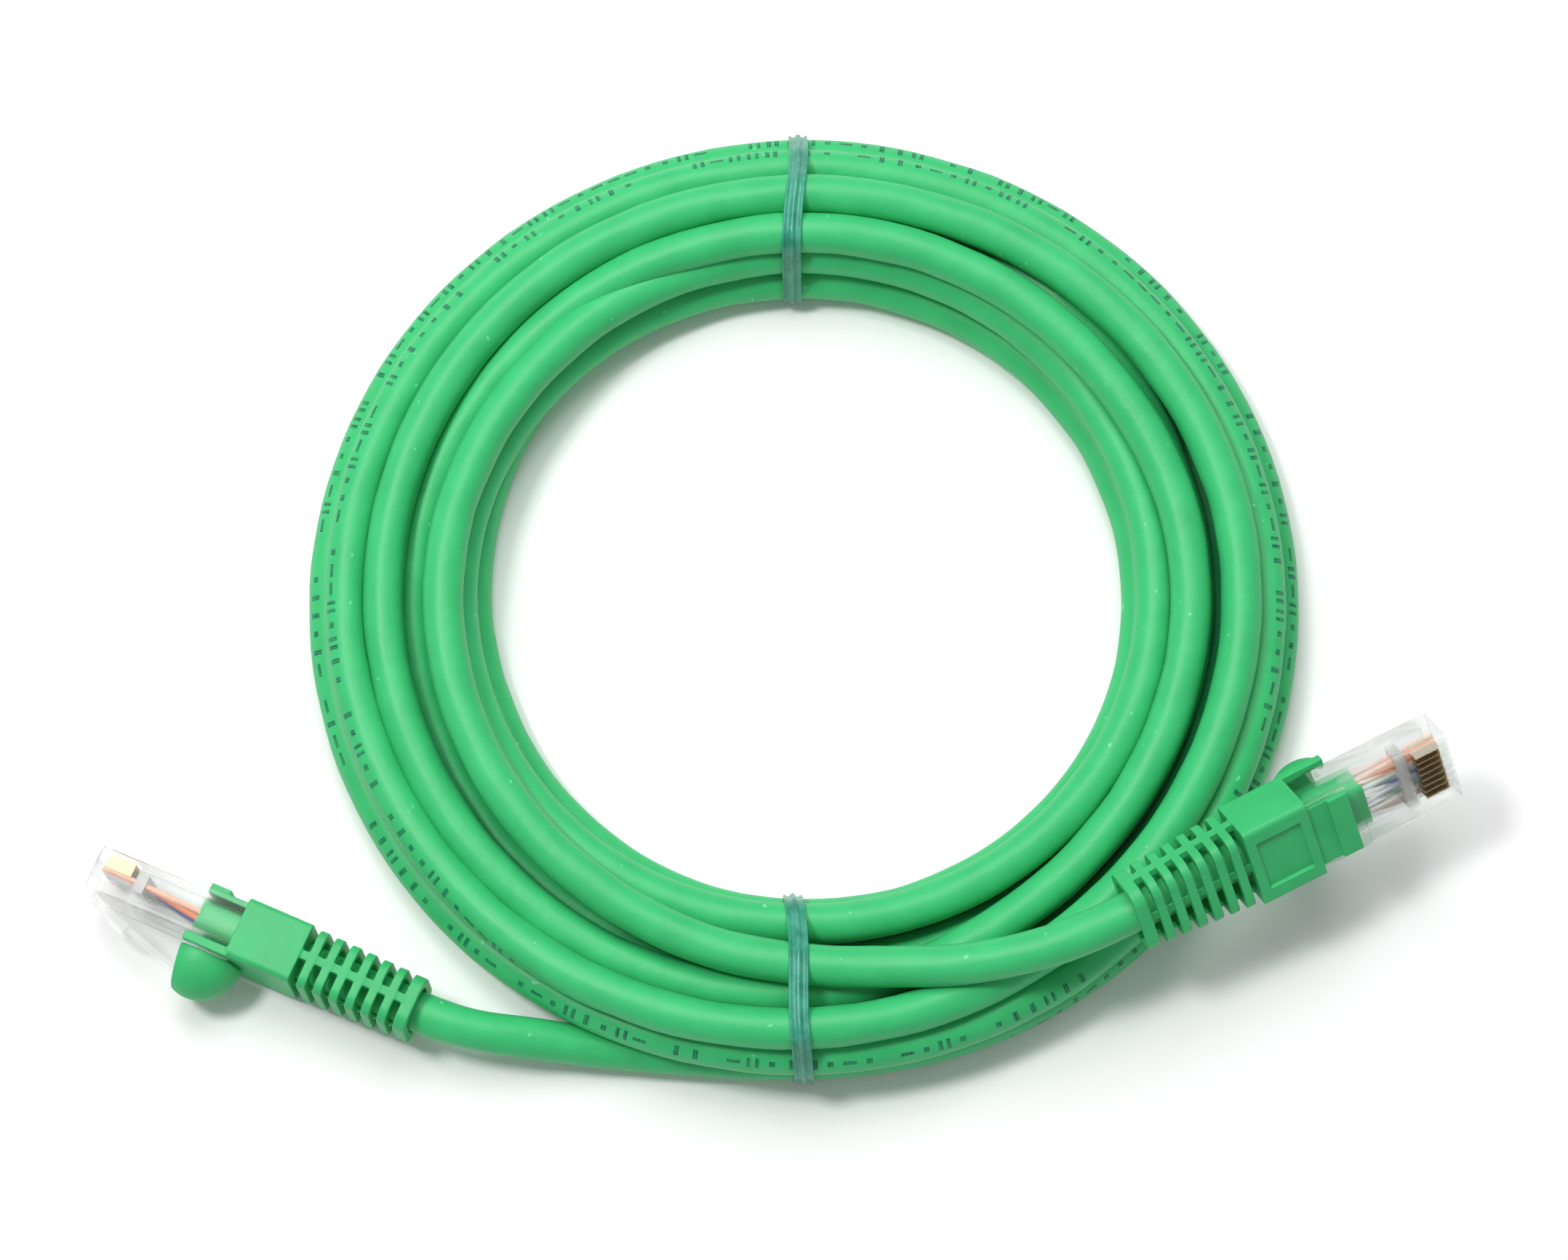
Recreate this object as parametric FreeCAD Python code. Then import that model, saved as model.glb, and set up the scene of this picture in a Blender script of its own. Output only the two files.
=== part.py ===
"""Ethernet patch cable, about 3 m long, wound into a flat ring and held by two ties.

Millimetres, +Z up. The origin is the middle of the bounding box on the surface the coil lies on.
Each plug is modelled in its own frame and then placed: +X runs from the mouth of the boot to the
nose of the plug, +Y is the side of contact 1, and +Z is the side of the gold contacts.
"""

import FreeCAD, Part
import math
import os

V = FreeCAD.Vector
TINY = 1e-6

# ---- cord ----
CORD_DIAMETER = 6.0
JACKET_WALL = 0.55
COIL_CENTRE = V(5.25, 0.0, 0.0)
MIN_BEND_DIAMETERS = 4.0
ARC_SHARE = 0.45

# ---- coil: half of its section, radius from the coil's centre and height ----
COIL_INNER_R = 45.7
COIL_OUTER_R = 73.8
COIL_HEIGHT = 17.0
COIL_EDGE_R = 3.0
COIL_OUTER_SHOULDER = (72.3, 9.8)
COIL_OUTER_CROWN_R = 66.0
COIL_INNER_CROWN_R = 53.5
COIL_INNER_SHOULDER = (47.2, 9.4)

# ---- ties ----
TIE_WIDTH = 2.8
TIE_THICKNESS = 0.8
TIE_CLEARANCE = 0.06
TIE_WIRE_DIAMETER = 0.45
TIE_ANGLES = {"top": 91.3, "bottom": 268.9}

# ---- boot, along the plug's X axis ----
END_RING_LENGTH = 1.85
SLOT_COUNT = 7
SLOT_PITCH = 2.5
SLOT_WIDTH = 1.15
RELIEF_LENGTH = END_RING_LENGTH + (SLOT_COUNT - 1) * SLOT_PITCH + SLOT_WIDTH
REAR_RING = (10.8, 8.7, 2.5)
FRONT_RING = (12.9, 9.1, 1.7)
RING_WALL = 1.25
SPINE_WIDTH = 1.35
FACE_SPINE_RECESS = 0.9
SIDE_SPINE_RECESS = 0.05
SPINE_START = 0.4
BLOCK_LENGTH = 10.1
BLOCK_WIDTH = 13.2
BLOCK_THICKNESS = 9.2
BLOCK_EDGE_R = 0.9
BLOCK_FRONT = RELIEF_LENGTH + BLOCK_LENGTH
PANEL_LENGTH = 7.1
PANEL_WIDTH = 8.1
PANEL_DEPTH = 0.5
BORE_DIAMETER = 6.1
TONGUE_WIDTH = 10.2
TONGUE_LENGTH = 6.3
TONGUE_LOW_TOP = 3.95
TONGUE_UNDERSIDE = 3.08
ROOT_OVERLAP = 0.5
STRIP_WIDTH = 13.0
STRIP_LENGTH = 6.6
STRIP_TOP = -3.42
STRIP_BOTTOM = -4.75

# ---- hood over the latch: an ellipsoid shell, cut open at its front and toward the plug ----
HOOD_CENTRE_X = BLOCK_FRONT + 3.8
HOOD_EDGE_Z = -5.0
HOOD_OUTER = (6.0, 5.3, 6.6)
HOOD_WALL = 0.95
HOOD_FRONT_X = BLOCK_FRONT + 6.8
HOOD_FRONT_SLANT = 6.0
HOOD_OPENING_CLEARANCE = 0.25

# ---- plug, IEC 60603-7 outline ----
PLUG_WIDTH = 11.68
PLUG_REAR = BLOCK_FRONT + 0.1
PLUG_LENGTH = 23.0
NOSE = PLUG_REAR + PLUG_LENGTH
PLUG_HALF_HEIGHT = 3.3
PLUG_REAR_TOP = 3.9
PLUG_REAR_STEP = BLOCK_FRONT + 8.0
PLUG_EDGE_R = 0.35
CAVITY_WIDTH = 9.2
CAVITY_HALF_HEIGHT = 2.75
CAVITY_END = NOSE - 6.3
POCKET_CLEARANCE = 0.12

CONTACT_COUNT = 8
CONTACT_PITCH = 1.016
CONTACT_THICKNESS = 0.35
CONTACT_LENGTH = 4.0
CONTACT_FRONT = NOSE - 1.2
CONTACT_BOTTOM = 0.1
CONTACT_TOP = 2.85
CONTACT_FRONT_R = 0.9
SLOT_CLEARANCE = 0.06
SLOT_FLOOR = 1.25

WIRE_DIAMETER = 0.9
COPPER_DIAMETER = 0.51
WIRE_ROW_Z = 0.4
WIRE_CLEARANCE = 0.03
WIRE_OVAL = (3.1, 1.25)
WIRE_IN_JACKET = 2.0
WIRE_IN_ROW = CAVITY_END - 2.9
WIRE_LARGEST_SETBACK = 1.2
WIRE_END = CONTACT_FRONT + 0.1
WIRE_BORE_START = CAVITY_END - 1.0
SQUEEZED_JACKET = (8.4, 5.2, 2.3)
SQUEEZED_BORE = (7.2, 4.0, 1.8)
SQUEEZED_END_R = 1.2
JACKET_BORE = 4.2
JACKET_START = 1.5

LOAD_BAR_LENGTH = 1.6
LOAD_BAR_WIDTH = 9.0
LOAD_BAR_BOTTOM = -0.9
LOAD_BAR_TOP = 1.9
LOAD_BAR_REAR = CAVITY_END - LOAD_BAR_LENGTH - 0.05

LATCH_HINGE_X = NOSE - 1.5
LATCH_ROOT_R = 0.55
LATCH_HINGE_Z = -PLUG_HALF_HEIGHT - LATCH_ROOT_R - 0.08
LATCH_LENGTH = 16.0
LATCH_ANGLE = 18.0
LATCH_THICKNESS = 0.95
LATCH_SHOULDER_LENGTH = 6.6
LATCH_SHOULDER_WIDTH = 6.1
LATCH_SHOULDER_HEIGHT = 1.5
LATCH_LAND = 1.6
LATCH_TIP_WIDTH = 3.25

WIRE_COLOURS = (
    "white_orange", "orange", "white_green", "blue",
    "white_blue", "green", "white_brown", "brown",
)

# ---- the two plugs: boot mouth relative to the coil's centre, yaw, pitch, roll, and where the jacket
# ends along the plug's X axis ----
PLUGS = {
    "a": {"mouth": V(-56.1, -62.6, 7.65), "yaw": 156.6, "pitch": 1.6, "roll": 93.4, "jacket_end": 34.7},
    "b": {"mouth": V(46.2, -50.3, 20.8), "yaw": 27.0, "pitch": 1.0, "roll": 43.6, "jacket_end": 37.4},
}

# ---- loose ends of the cord, relative to the coil's centre, from each boot to the coil ----
TAILS = {
    "a": [
        V(-57.48, -62.0, 7.61), V(-52.89, -63.99, 7.75), V(-47.59, -65.41, 7.28),
        V(-39.8, -66.3, 5.72), V(-31.0, -67.3, 3.7), V(-21.2, -68.1, 3.0),
    ],
    "b": [
        V(47.54, -49.62, 20.77), V(39.52, -53.7, 20.93), V(30.3, -56.4, 19.9),
        V(20.6, -57.6, 17.6), V(10.9, -57.4, 15.8),
    ],
}


def box(x0, x1, y0, y1, z0, z1):
    """Box between two corners."""
    return Part.makeBox(x1 - x0, y1 - y0, z1 - z0, V(x0, y0, z0))


def slab(x0, x1, width, z0, z1):
    """Box centred on the plug's middle plane."""
    return box(x0, x1, -width / 2, width / 2, z0, z1)


def rod(x0, x1, diameter, y=0.0, z=0.0):
    """Cylinder along X."""
    return Part.makeCylinder(diameter / 2, x1 - x0, V(x0, y, z), V(1, 0, 0))


def rounded_prism(x0, x1, width, thickness, corner_r):
    """Prism along X with a rounded rectangular section."""
    solid = box(x0, x1, -width / 2, width / 2, -thickness / 2, thickness / 2)
    long_edges = [e for e in solid.Edges if abs(e.BoundBox.XLength - (x1 - x0)) < TINY]
    return solid.makeFillet(corner_r, long_edges)


def union(solids):
    """One solid from touching or overlapping ones, without the seams between them."""
    return solids[0].multiFuse(solids[1:]).removeSplitter()


def blend(start, end, share):
    """Values part of the way from one tuple to another."""
    return tuple(a + (b - a) * share for a, b in zip(start, end))


def arc_path(points, largest_setback=math.inf):
    """Straight runs joined by tangent arcs as large as the runs allow; the wire and the radii."""
    edges = []
    radii = []
    here = points[0]
    for before, corner, after in zip(points, points[1:], points[2:]):
        run_in = (corner - before).normalize()
        run_out = (after - corner).normalize()
        half_turn = run_in.getAngle(run_out) / 2
        shorter = min((corner - before).Length, (after - corner).Length)
        setback = min(ARC_SHARE * shorter, largest_setback)
        radius = setback / math.tan(half_turn)
        radii.append(radius)
        arc_start = corner - run_in * setback
        arc_end = corner + run_out * setback
        inward = (run_out - run_in).normalize()
        to_centre = radius / math.cos(half_turn)
        arc_middle = corner + inward * (to_centre - radius)
        edges.append(Part.LineSegment(here, arc_start).toShape())
        edges.append(Part.Arc(arc_start, arc_middle, arc_end).toShape())
        here = arc_end
    edges.append(Part.LineSegment(here, points[-1]).toShape())
    return Part.Wire(edges), radii


def tube(points, diameter, largest_setback=math.inf):
    """Solid round tube along a path of runs and arcs; the solid, its length and its radii."""
    path, radii = arc_path(points, largest_setback)
    along = (points[1] - points[0]).normalize()
    ring = Part.Wire([Part.makeCircle(diameter / 2, points[0], along)])
    solid = path.makePipeShell([ring], True, False)
    return solid, path.Length, radii


def make_relief():
    """Rings and slots of the strain relief, joined by a spine in the middle of each side."""
    rings = []
    starts = [0.0] + [
        END_RING_LENGTH + SLOT_WIDTH + i * SLOT_PITCH for i in range(SLOT_COUNT - 1)
    ]
    for start in starts:
        length = END_RING_LENGTH if start == 0.0 else SLOT_PITCH - SLOT_WIDTH
        width, thickness, corner = blend(REAR_RING, FRONT_RING, start / RELIEF_LENGTH)
        outer = rounded_prism(start, start + length, width, thickness, corner)
        inner_corner = corner - RING_WALL / 2
        inner = rounded_prism(
            start - 1, start + length + 1, width - 2 * RING_WALL,
            max(thickness - 2 * RING_WALL, BORE_DIAMETER), inner_corner,
        )
        rings.append(outer.cut(inner))
    rear_reach = REAR_RING[0] / 2 - SIDE_SPINE_RECESS
    front_reach = FRONT_RING[0] / 2 - SIDE_SPINE_RECESS
    low = -SPINE_WIDTH / 2
    corners = [
        V(SPINE_START, rear_reach - RING_WALL, low), V(SPINE_START, rear_reach, low),
        V(RELIEF_LENGTH, front_reach, low), V(RELIEF_LENGTH, front_reach - RING_WALL, low),
    ]
    side_spine = Part.Face(Part.makePolygon(corners + corners[:1])).extrude(V(0, 0, SPINE_WIDTH))
    face_reach = REAR_RING[1] / 2 - FACE_SPINE_RECESS
    spines = [side_spine, side_spine.mirror(V(0, 0, 0), V(0, 1, 0))]
    for side in (-1, 1):
        z0, z1 = sorted((side * BORE_DIAMETER / 2, side * face_reach))
        spines.append(box(SPINE_START, RELIEF_LENGTH, -SPINE_WIDTH / 2, SPINE_WIDTH / 2, z0, z1))
    return rings + spines


def hood_opening():
    """Oval opening in the strip that the edge of the hood moves into when it is pressed."""
    along, across, _ = (a + HOOD_OPENING_CLEARANCE for a in HOOD_OUTER)
    oval = Part.Edge(Part.Ellipse(V(HOOD_CENTRE_X, 0, STRIP_BOTTOM - 1), along, across))
    depth = STRIP_TOP - STRIP_BOTTOM + 2
    return Part.Face(Part.Wire([oval])).extrude(V(0, 0, depth))


def make_boot():
    """Snagless boot: strain relief, block, cover tongue and the strip that carries the hood."""
    block = rounded_prism(RELIEF_LENGTH, BLOCK_FRONT, BLOCK_WIDTH, BLOCK_THICKNESS, BLOCK_EDGE_R)
    top = BLOCK_THICKNESS / 2
    panel_rear = RELIEF_LENGTH + (BLOCK_LENGTH - PANEL_LENGTH) / 2
    panel = slab(panel_rear, panel_rear + PANEL_LENGTH, PANEL_WIDTH, top - PANEL_DEPTH, top + 1)
    middle = BLOCK_FRONT + TONGUE_LENGTH / 2
    tongue_low = slab(
        BLOCK_FRONT - ROOT_OVERLAP, middle, TONGUE_WIDTH, TONGUE_UNDERSIDE, TONGUE_LOW_TOP,
    )
    tongue_high = slab(middle, BLOCK_FRONT + TONGUE_LENGTH, TONGUE_WIDTH, TONGUE_UNDERSIDE, top)
    strip_end = BLOCK_FRONT + STRIP_LENGTH
    strip = slab(BLOCK_FRONT - ROOT_OVERLAP, strip_end, STRIP_WIDTH, STRIP_BOTTOM, STRIP_TOP)
    strip = strip.cut(hood_opening())
    body = union([block, tongue_low, tongue_high, strip] + make_relief())
    body = body.cut(panel)
    return body.cut(rod(-1, BLOCK_FRONT + 1, BORE_DIAMETER))


def ellipsoid(centre, semi_axes):
    """Ellipsoid with its axes along X, Y and Z."""
    scale = FreeCAD.Matrix()
    scale.scale(*semi_axes)
    solid = Part.makeSphere(1.0).transformGeometry(scale)
    solid.translate(centre)
    return solid


def make_hood():
    """Domed cover that the finger presses; it flexes about its root behind the dome."""
    centre = V(HOOD_CENTRE_X, 0, HOOD_EDGE_Z)
    inner_axes = tuple(a - HOOD_WALL for a in HOOD_OUTER)
    shell = ellipsoid(centre, HOOD_OUTER).cut(ellipsoid(centre, inner_axes))
    reach = 2 * HOOD_OUTER[0]
    toward_plug = slab(HOOD_CENTRE_X - reach, HOOD_CENTRE_X + reach, reach, HOOD_EDGE_Z, reach)
    ahead = slab(HOOD_FRONT_X, HOOD_FRONT_X + reach, 2 * reach, -2 * reach, 2 * reach)
    ahead.rotate(V(HOOD_FRONT_X, 0, HOOD_EDGE_Z), V(0, 1, 0), HOOD_FRONT_SLANT)
    return shell.cut(toward_plug).cut(ahead)


def contact_rows():
    """Y of each contact, from contact 1 to contact 8."""
    half_row = (CONTACT_COUNT - 1) / 2
    return [(half_row - i) * CONTACT_PITCH for i in range(CONTACT_COUNT)]


def make_blade(y, thickness, grow):
    """One contact, or with grow the slot that it sits in."""
    blade = box(
        CONTACT_FRONT - CONTACT_LENGTH - grow, CONTACT_FRONT + grow,
        y - thickness / 2 - grow, y + thickness / 2 + grow,
        CONTACT_BOTTOM - grow, CONTACT_TOP,
    )
    front_edge = [
        e for e in blade.Edges
        if abs(e.CenterOfMass.x - CONTACT_FRONT - grow) < TINY and abs(e.CenterOfMass.z - CONTACT_TOP) < TINY
    ]
    return blade.makeFillet(CONTACT_FRONT_R, front_edge)


def make_plug_body():
    """Clear housing: nose with contact slots, jacket cavity, and the pocket for the tongue."""
    front = slab(PLUG_REAR, NOSE, PLUG_WIDTH, -PLUG_HALF_HEIGHT, PLUG_HALF_HEIGHT)
    rear = slab(PLUG_REAR, PLUG_REAR_STEP, PLUG_WIDTH, 0, PLUG_REAR_TOP)
    body = union([front, rear])
    nose_edges = [
        e for e in body.Edges
        if abs(e.CenterOfMass.x - NOSE) < TINY or (
            abs(abs(e.CenterOfMass.y) - PLUG_WIDTH / 2) < TINY and e.BoundBox.XLength > 5
        )
    ]
    body = body.makeFillet(PLUG_EDGE_R, nose_edges)
    half = CAVITY_HALF_HEIGHT
    cavity = rounded_prism(PLUG_REAR - 1, CAVITY_END, CAVITY_WIDTH, 2 * half, half / 2)
    pocket_end = BLOCK_FRONT + TONGUE_LENGTH + POCKET_CLEARANCE
    pocket_floor = TONGUE_UNDERSIDE - POCKET_CLEARANCE / 2
    pocket = slab(
        PLUG_REAR - 1, pocket_end, TONGUE_WIDTH + 2 * POCKET_CLEARANCE,
        pocket_floor, PLUG_REAR_TOP + 1,
    )
    cutters = [cavity, pocket]
    wire_bore = WIRE_DIAMETER + 2 * WIRE_CLEARANCE
    for y in contact_rows():
        bore = rod(WIRE_BORE_START, WIRE_END + WIRE_CLEARANCE, wire_bore, y, WIRE_ROW_Z)
        slot = box(
            CONTACT_FRONT - CONTACT_LENGTH - SLOT_CLEARANCE, NOSE + 1,
            y - CONTACT_THICKNESS / 2 - SLOT_CLEARANCE, y + CONTACT_THICKNESS / 2 + SLOT_CLEARANCE,
            SLOT_FLOOR, PLUG_HALF_HEIGHT + 1,
        )
        cutters += [bore, slot, make_blade(y, CONTACT_THICKNESS, SLOT_CLEARANCE)]
    return body.cut(cutters)


def make_load_bar():
    """Small bar that lines up the eight wires behind the contacts."""
    front = LOAD_BAR_REAR + LOAD_BAR_LENGTH
    bar = slab(LOAD_BAR_REAR, front, LOAD_BAR_WIDTH, LOAD_BAR_BOTTOM, LOAD_BAR_TOP)
    diameter = WIRE_DIAMETER + 2 * WIRE_CLEARANCE
    bores = [rod(LOAD_BAR_REAR - 1, NOSE, diameter, y, WIRE_ROW_Z) for y in contact_rows()]
    return bar.cut(bores)


def wire_start(index):
    """Where a wire leaves the squeezed jacket: the order across the plug is kept."""
    half_step = 180.0 / CONTACT_COUNT
    side = 1 if index % 2 == 0 else -1
    angle = math.radians(half_step / 2 + half_step * index)
    across, high = WIRE_OVAL
    return across * math.cos(angle), side * high * math.sin(angle)


def make_wires(jacket_end):
    """Insulation of the eight wires, one solid each, and their copper cores."""
    insulation = []
    cores = []
    for index, y in enumerate(contact_rows()):
        y0, z0 = wire_start(index)
        points = [
            V(jacket_end - WIRE_IN_JACKET, y0, z0), V(jacket_end, y0, z0),
            V(WIRE_IN_ROW, y, WIRE_ROW_Z), V(WIRE_END, y, WIRE_ROW_Z),
        ]
        outer, _, _ = tube(points, WIRE_DIAMETER, WIRE_LARGEST_SETBACK)
        core, _, _ = tube(points, COPPER_DIAMETER, WIRE_LARGEST_SETBACK)
        blade = make_blade(y, CONTACT_THICKNESS, 0.0)
        insulation.append(outer.cut([core, blade]))
        cores.append(core.cut(blade))
    return insulation, Part.makeCompound(cores)


def make_jacket_end(jacket_end):
    """Jacket from the boot's mouth to where it ends, squeezed flat by the grip of the plug."""
    in_boot = rod(JACKET_START, PLUG_REAR, CORD_DIAMETER)
    in_plug = rounded_prism(PLUG_REAR, jacket_end, *SQUEEZED_JACKET)
    width, thickness, _ = SQUEEZED_JACKET
    plan = slab(PLUG_REAR, jacket_end, width, -thickness, thickness)
    end_edges = [
        e for e in plan.Edges
        if abs(e.BoundBox.ZLength - 2 * thickness) < TINY and abs(e.CenterOfMass.x - jacket_end) < TINY
    ]
    in_plug = in_plug.common(plan.makeFillet(SQUEEZED_END_R, end_edges))
    bore = rod(JACKET_START - 1, jacket_end, JACKET_BORE)
    flat_bore = rounded_prism(PLUG_REAR + JACKET_WALL, jacket_end + 1, *SQUEEZED_BORE)
    return union([in_boot, in_plug]).cut([bore, flat_bore])


def make_latch():
    """Locking lever: thin tip, wide shoulders, and a round root close under the nose."""
    half = LATCH_THICKNESS / 2
    tip = slab(-LATCH_LENGTH, 0, LATCH_TIP_WIDTH, -half, half)
    shoulder = slab(-LATCH_SHOULDER_LENGTH, 0, LATCH_SHOULDER_WIDTH, -half, half)
    side = -LATCH_SHOULDER_WIDTH / 2
    corners = [
        V(-LATCH_SHOULDER_LENGTH, side, 0), V(-LATCH_SHOULDER_LENGTH, side, -LATCH_SHOULDER_HEIGHT),
        V(-LATCH_SHOULDER_LENGTH + LATCH_LAND, side, -LATCH_SHOULDER_HEIGHT), V(0, side, 0),
    ]
    outline = Part.makePolygon(corners + corners[:1])
    lock = Part.Face(outline).extrude(V(0, LATCH_SHOULDER_WIDTH, 0))
    root = Part.makeCylinder(
        LATCH_ROOT_R, LATCH_SHOULDER_WIDTH, V(0, -LATCH_SHOULDER_WIDTH / 2, 0), V(0, 1, 0)
    )
    lever = union([tip, shoulder, lock, root])
    lever.rotate(V(0, 0, 0), V(0, 1, 0), -LATCH_ANGLE)
    lever.translate(V(LATCH_HINGE_X, 0, LATCH_HINGE_Z))
    return lever


def plug_placement(spot):
    """Placement of a plug's frame in the part's frame."""
    turn = FreeCAD.Rotation(spot["yaw"], spot["pitch"], spot["roll"])
    return FreeCAD.Placement(COIL_CENTRE + spot["mouth"], turn)


def make_plug_nodes(end):
    """Every node of one plug, in the part's frame."""
    jacket_end = PLUGS[end]["jacket_end"]
    insulation, cores = make_wires(jacket_end)
    nodes = {
        "boot": make_boot(),
        "hood": make_hood(),
        "plug_body": make_plug_body(),
        "latch": make_latch(),
        "load_bar": make_load_bar(),
        "jacket_end": make_jacket_end(jacket_end),
        "copper_cores": cores,
    }
    for colour, solid in zip(WIRE_COLOURS, insulation):
        nodes["wire_" + colour] = solid
    for number, y in enumerate(contact_rows(), start=1):
        nodes["contact_%d" % number] = make_blade(y, CONTACT_THICKNESS, 0.0)
    place = plug_placement(PLUGS[end]).toMatrix()
    return {name + "_" + end: shape.transformed(place) for name, shape in nodes.items()}


def coil_section(grow):
    """Outline of the wound bundle in the XZ plane, moved outward by grow."""
    inner = COIL_INNER_R - grow
    outer = COIL_OUTER_R + grow
    low = -grow
    top = COIL_HEIGHT + grow
    edge = COIL_EDGE_R + grow
    diagonal = edge * (1 - math.sqrt(0.5))
    outer_shoulder = V(COIL_OUTER_SHOULDER[0] + grow, 0, COIL_OUTER_SHOULDER[1])
    inner_shoulder = V(COIL_INNER_SHOULDER[0] - grow, 0, COIL_INNER_SHOULDER[1])
    outer_side = V(outer, 0, low + edge)
    inner_side = V(inner, 0, low + edge)
    floor_out = V(outer - edge, 0, low)
    floor_in = V(inner + edge, 0, low)
    crown_out = V(COIL_OUTER_CROWN_R, 0, top)
    crown_in = V(COIL_INNER_CROWN_R, 0, top)
    edges = [
        Part.LineSegment(floor_in, floor_out).toShape(),
        Part.Arc(floor_out, V(outer - diagonal, 0, low + diagonal), outer_side).toShape(),
        Part.LineSegment(outer_side, outer_shoulder).toShape(),
        Part.LineSegment(outer_shoulder, crown_out).toShape(),
        Part.LineSegment(crown_out, crown_in).toShape(),
        Part.LineSegment(crown_in, inner_shoulder).toShape(),
        Part.LineSegment(inner_shoulder, inner_side).toShape(),
        Part.Arc(inner_side, V(inner + diagonal, 0, low + diagonal), floor_in).toShape(),
    ]
    return Part.Face(Part.Wire(edges))


def tie_band(grow_in, grow_out, width, angle):
    """Closed band round the bundle's section, standing across the coil at an angle."""
    band = coil_section(grow_out).cut(coil_section(grow_in)).Faces[0]
    band.translate(V(0, -width / 2, 0))
    solid = band.extrude(V(0, width, 0))
    solid.rotate(V(0, 0, 0), V(0, 0, 1), angle)
    return solid


def make_ties():
    """Ribbon and wire core of the two ties; the underside of each is flush with the floor."""
    ties = {}
    lift = V(0, 0, TIE_THICKNESS)
    for place, angle in TIE_ANGLES.items():
        ribbon = tie_band(TIE_CLEARANCE, TIE_THICKNESS, TIE_WIDTH, angle)
        wire_in = (TIE_THICKNESS - TIE_WIRE_DIAMETER) / 2
        wire_out = wire_in + TIE_WIRE_DIAMETER
        wire = tie_band(wire_in, wire_out, TIE_WIRE_DIAMETER, angle)
        ties["tie_ribbon_" + place] = ribbon.cut(wire)
        ties["tie_wire_" + place] = wire
    for shape in ties.values():
        shape.translate(COIL_CENTRE + lift)
    return ties


def make_coil():
    """Outer shape of all the turns, with a shallow step over the run of each tie below it."""
    ring = coil_section(0.0).revolve(V(0, 0, 0), V(0, 0, 1), 360)
    for angle in TIE_ANGLES.values():
        width = TIE_WIDTH + 2 * TIE_CLEARANCE
        room = tie_band(-TIE_THICKNESS, TIE_THICKNESS + TIE_CLEARANCE, width, angle)
        room.translate(V(0, 0, TIE_THICKNESS))
        ring = ring.cut(room)
    ring.translate(COIL_CENTRE)
    return ring


def make_tails():
    """The two loose ends of the cord, each checked against its section and length."""
    tails = {}
    for end, route in TAILS.items():
        solid, length, radii = tube([COIL_CENTRE + point for point in route], CORD_DIAMETER)
        expected = math.pi * CORD_DIAMETER ** 2 / 4 * length
        print("cord_tail_%s: length %.1f, radii %s, volume / expected %.4f" % (
            end, length, [round(r, 1) for r in radii], solid.Volume / expected))
        if min(radii) < MIN_BEND_DIAMETERS * CORD_DIAMETER:
            print("  a radius is under %.0f diameters" % MIN_BEND_DIAMETERS)
        tails["cord_tail_" + end] = solid
    return tails


def main():
    """Write every node, then the size of the whole part."""
    nodes = {"cord_coil": make_coil()}
    nodes.update(make_tails())
    nodes.update(make_ties())
    for end in PLUGS:
        nodes.update(make_plug_nodes(end))
    os.makedirs("parts", exist_ok=True)
    whole = FreeCAD.BoundBox()
    for name, shape in nodes.items():
        if not shape.isValid():
            print("not valid:", name)
        shape.exportStep("parts/" + name + ".step")
        whole.add(shape.BoundBox)
    print(len(nodes), "nodes")
    print("x %.2f %.2f  y %.2f %.2f  z %.2f %.2f" % (
        whole.XMin, whole.XMax, whole.YMin, whole.YMax, whole.ZMin, whole.ZMax))


main()
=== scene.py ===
"""Ethernet patch cable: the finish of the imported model, in its own frame. Metres, +Z up."""

import math

import bmesh
import bpy
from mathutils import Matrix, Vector, noise


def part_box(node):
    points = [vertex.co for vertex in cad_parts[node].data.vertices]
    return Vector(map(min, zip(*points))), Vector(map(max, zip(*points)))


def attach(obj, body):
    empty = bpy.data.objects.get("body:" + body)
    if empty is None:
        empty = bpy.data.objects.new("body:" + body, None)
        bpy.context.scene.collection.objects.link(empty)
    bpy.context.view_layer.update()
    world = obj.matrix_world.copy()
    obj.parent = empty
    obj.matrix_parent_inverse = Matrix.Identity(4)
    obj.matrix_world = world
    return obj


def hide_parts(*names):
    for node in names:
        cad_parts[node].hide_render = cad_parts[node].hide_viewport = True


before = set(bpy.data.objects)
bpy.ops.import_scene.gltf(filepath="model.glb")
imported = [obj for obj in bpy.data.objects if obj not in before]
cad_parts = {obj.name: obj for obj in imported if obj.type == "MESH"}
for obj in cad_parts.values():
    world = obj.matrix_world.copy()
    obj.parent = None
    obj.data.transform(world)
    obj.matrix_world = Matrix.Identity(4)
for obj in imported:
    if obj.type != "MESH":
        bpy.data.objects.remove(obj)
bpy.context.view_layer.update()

UP = Vector((0, 0, 1))
ENDS = ("a", "b")

# ---- where things lie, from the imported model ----
coil_low, coil_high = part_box("cord_coil")
COIL_CENTRE = Vector(((coil_low[0] + coil_high[0]) / 2, (coil_low[1] + coil_high[1]) / 2, 0))

# ---- cord ----
CORD_DIAMETER = 0.006
CORD_RADIUS = CORD_DIAMETER / 2
CORD_SIDES = 28
TURN_STEP = 15

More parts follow.
